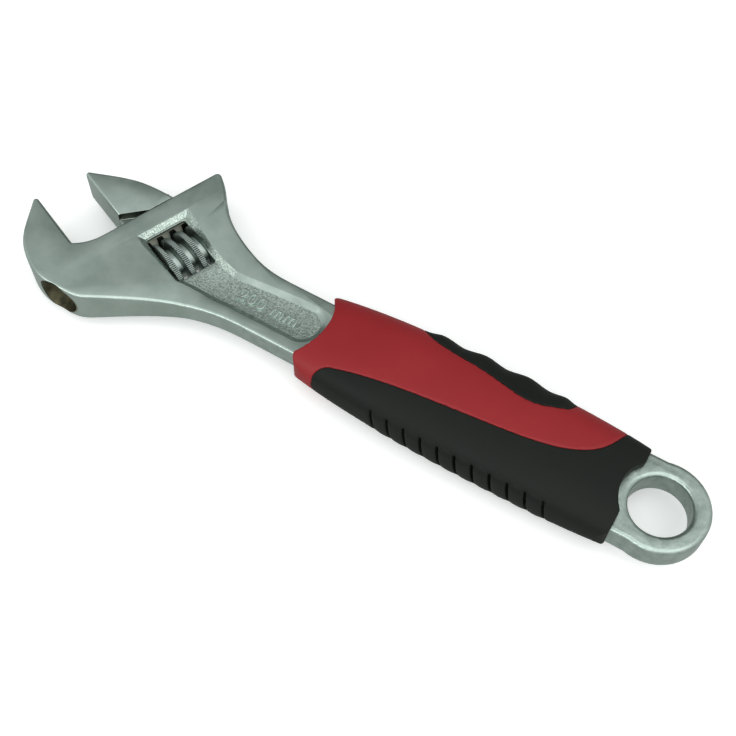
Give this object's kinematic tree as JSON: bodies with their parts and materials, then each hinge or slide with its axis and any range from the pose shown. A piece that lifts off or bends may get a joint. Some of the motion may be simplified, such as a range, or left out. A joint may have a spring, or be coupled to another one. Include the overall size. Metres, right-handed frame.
{
  "type": "adjustable wrench",
  "caption": "Adjustable wrench with a thumb worm that drives a sliding jaw on a rack, a hanging eye and a two-material moulded grip.",
  "frame": {"origin": "centre of the hanging hole, at the wrench's mid-thickness", "axes": "+X up the handle to the jaws, +Z out of the upper face along the hanging hole's axis, fixed jaw on the +Y side"},
  "size_m": [0.2034, 0.0556, 0.0188],
  "materials": {
    "satin_chrome": "satin nickel-chrome plate over a forging, with a blasted panel",
    "worm_steel": "machined steel with a knurled crest",
    "pin_steel": "turned steel",
    "spring_steel": "oiled spring wire",
    "red_plastic": "fine matte moulded texture",
    "black_rubber": "soft matte thermoplastic rubber"
  },
  "bodies": {
    "wrench": {"wrench_body": "satin_chrome", "worm_pin": "pin_steel", "worm_spring": "spring_steel", "grip_core": "red_plastic", "grip_palm_pad": "black_rubber", "grip_finger_pad": "black_rubber"},
    "jaw": {"sliding_jaw": "satin_chrome"},
    "worm": {"adjusting_worm": "worm_steel"}
  },
  "joints": [
    {"name": "worm_spin", "type": "hinge", "parent": "wrench", "child": "worm", "pos_m": [0.14516, -0.00233, 0], "axis": [0.3827, 0.9239, 0], "range_deg": [-1368, 783]},
    {"name": "jaw_slide", "type": "slide", "parent": "wrench", "child": "jaw", "axis": [0.3827, 0.9239, 0], "range_m": [-0.00871, 0.01521]}
  ],
  "couplings": [
    {"joint": "jaw_slide", "follows": "worm_spin", "m_per_rad": -0.00063662}
  ]
}
